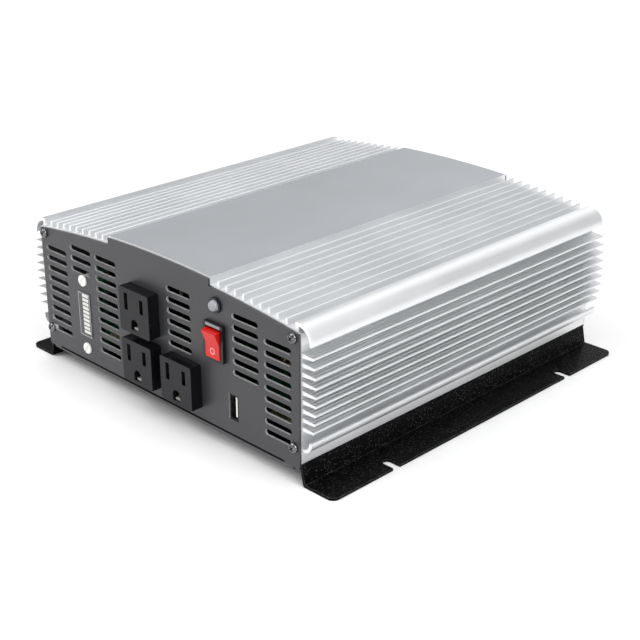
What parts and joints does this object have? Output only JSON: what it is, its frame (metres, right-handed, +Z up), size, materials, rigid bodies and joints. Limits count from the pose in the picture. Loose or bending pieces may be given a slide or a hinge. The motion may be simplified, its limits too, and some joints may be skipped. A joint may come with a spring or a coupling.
{
  "type": "power inverter",
  "caption": "Finned aluminium power inverter on slotted mounting flanges, with mains outlets, a rocker switch, a charge display, a USB port, rear fans and DC studs.",
  "frame": {"origin": "under the middle of the whole part, on the surface that the mounting flanges stand on", "axes": "+X to the right seen from the outlets' side, +Y from the front panel to the DC studs, +Z up"},
  "size_m": [0.2486, 0.264, 0.0915],
  "materials": {
    "housing_alloy": "satin silver extrusion, pale on the fins' edges",
    "base_coat": "black textured powder coat",
    "panel_coat": "dark grey satin powder coat",
    "black_steel": "blackened steel",
    "outlet_plastic": "finely textured black plastic with glossy sides",
    "contact_brass": "bright brass",
    "lead_sheath": "red vinyl sheath",
    "switch_black": "black moulded plastic",
    "rocker_red": "glossy red plastic",
    "lamp_clear": "clear domed lens",
    "window_smoke": "smoky clear window",
    "bar_cream": "cream diffusing plastic",
    "board_green": "green circuit board with solder mask",
    "nylon_white": "natural white nylon",
    "tin_plate": "bright plated steel",
    "sheet_film": "translucent insulating film",
    "ferrite_grey": "dark grey sintered ferrite",
    "coil_tape": "yellow winding tape",
    "sleeve_blue": "dark blue shrink sleeve",
    "fuse_orange": "orange plastic",
    "bar_copper": "bare copper",
    "fan_plastic": "black glass-filled plastic",
    "guard_wire": "bright plated wire",
    "terminal_red": "red moulded insulator",
    "terminal_black": "black moulded insulator"
  },
  "bodies": {
    "case": {"housing": "housing_alloy", "base_plate": "base_coat", "front_panel": "panel_coat", "rear_panel": "panel_coat", "front_screws": "black_steel", "rear_screws": "black_steel", "base_screws": "black_steel", "outlet_upper": "outlet_plastic", "outlet_lower_left": "outlet_plastic", "outlet_lower_right": "outlet_plastic", "outlet_contacts": "contact_brass", "outlet_leads": "lead_sheath", "switch_body": "switch_black", "switch_terminals": "contact_brass", "lamp_bezel": "switch_black", "lamp_lens": "lamp_clear", "display_window": "window_smoke", "display_module": "switch_black", "display_bars": "bar_cream", "display_board": "board_green", "display_spacers": "nylon_white", "display_screws": "nylon_white", "display_nuts": "nylon_white", "usb_shell": "tin_plate", "usb_insert": "nylon_white", "usb_board": "board_green", "main_board": "board_green", "board_standoffs": "contact_brass", "board_screws": "tin_plate", "insulation_sheet": "sheet_film", "transformer_bobbins": "switch_black", "transformer_cores": "ferrite_grey", "transformer_coils": "coil_tape", "input_capacitors": "sleeve_blue", "bulk_capacitors": "switch_black", "heat_spreaders": "housing_alloy", "power_transistors": "switch_black", "clamp_bars": "tin_plate", "clamp_screws": "tin_plate", "blade_fuses": "fuse_orange", "copper_busbars": "bar_copper", "choke_core": "ferrite_grey", "choke_winding": "bar_copper", "control_card": "board_green", "fan_frame_left": "fan_plastic", "fan_frame_right": "fan_plastic", "fan_guard_left": "guard_wire", "fan_guard_right": "guard_wire", "fan_screws": "tin_plate", "fan_nuts": "tin_plate", "fan_leads": "lead_sheath", "terminal_positive": "terminal_red", "terminal_negative": "terminal_black", "terminal_rings": "terminal_black", "terminal_studs": "contact_brass", "terminal_nuts": "tin_plate", "ground_terminal": "tin_plate"},
    "rocker": {"switch_rocker": "rocker_red"},
    "left_fan": {"fan_rotor_left": "fan_plastic"},
    "right_fan": {"fan_rotor_right": "fan_plastic"}
  },
  "joints": [
    {"name": "rocker_tilt", "type": "hinge", "parent": "case", "child": "rocker", "pos_m": [0.0446, -0.12245, 0.058], "axis": [-1, 0, 0], "range_deg": [0, 20]},
    {"name": "left_fan_spin", "type": "hinge", "parent": "case", "child": "left_fan", "pos_m": [-0.0645, 0.09925, 0.0466], "axis": [0, 1, 0], "continuous": true},
    {"name": "right_fan_spin", "type": "hinge", "parent": "case", "child": "right_fan", "pos_m": [0.0645, 0.09925, 0.0466], "axis": [0, 1, 0], "continuous": true}
  ]
}
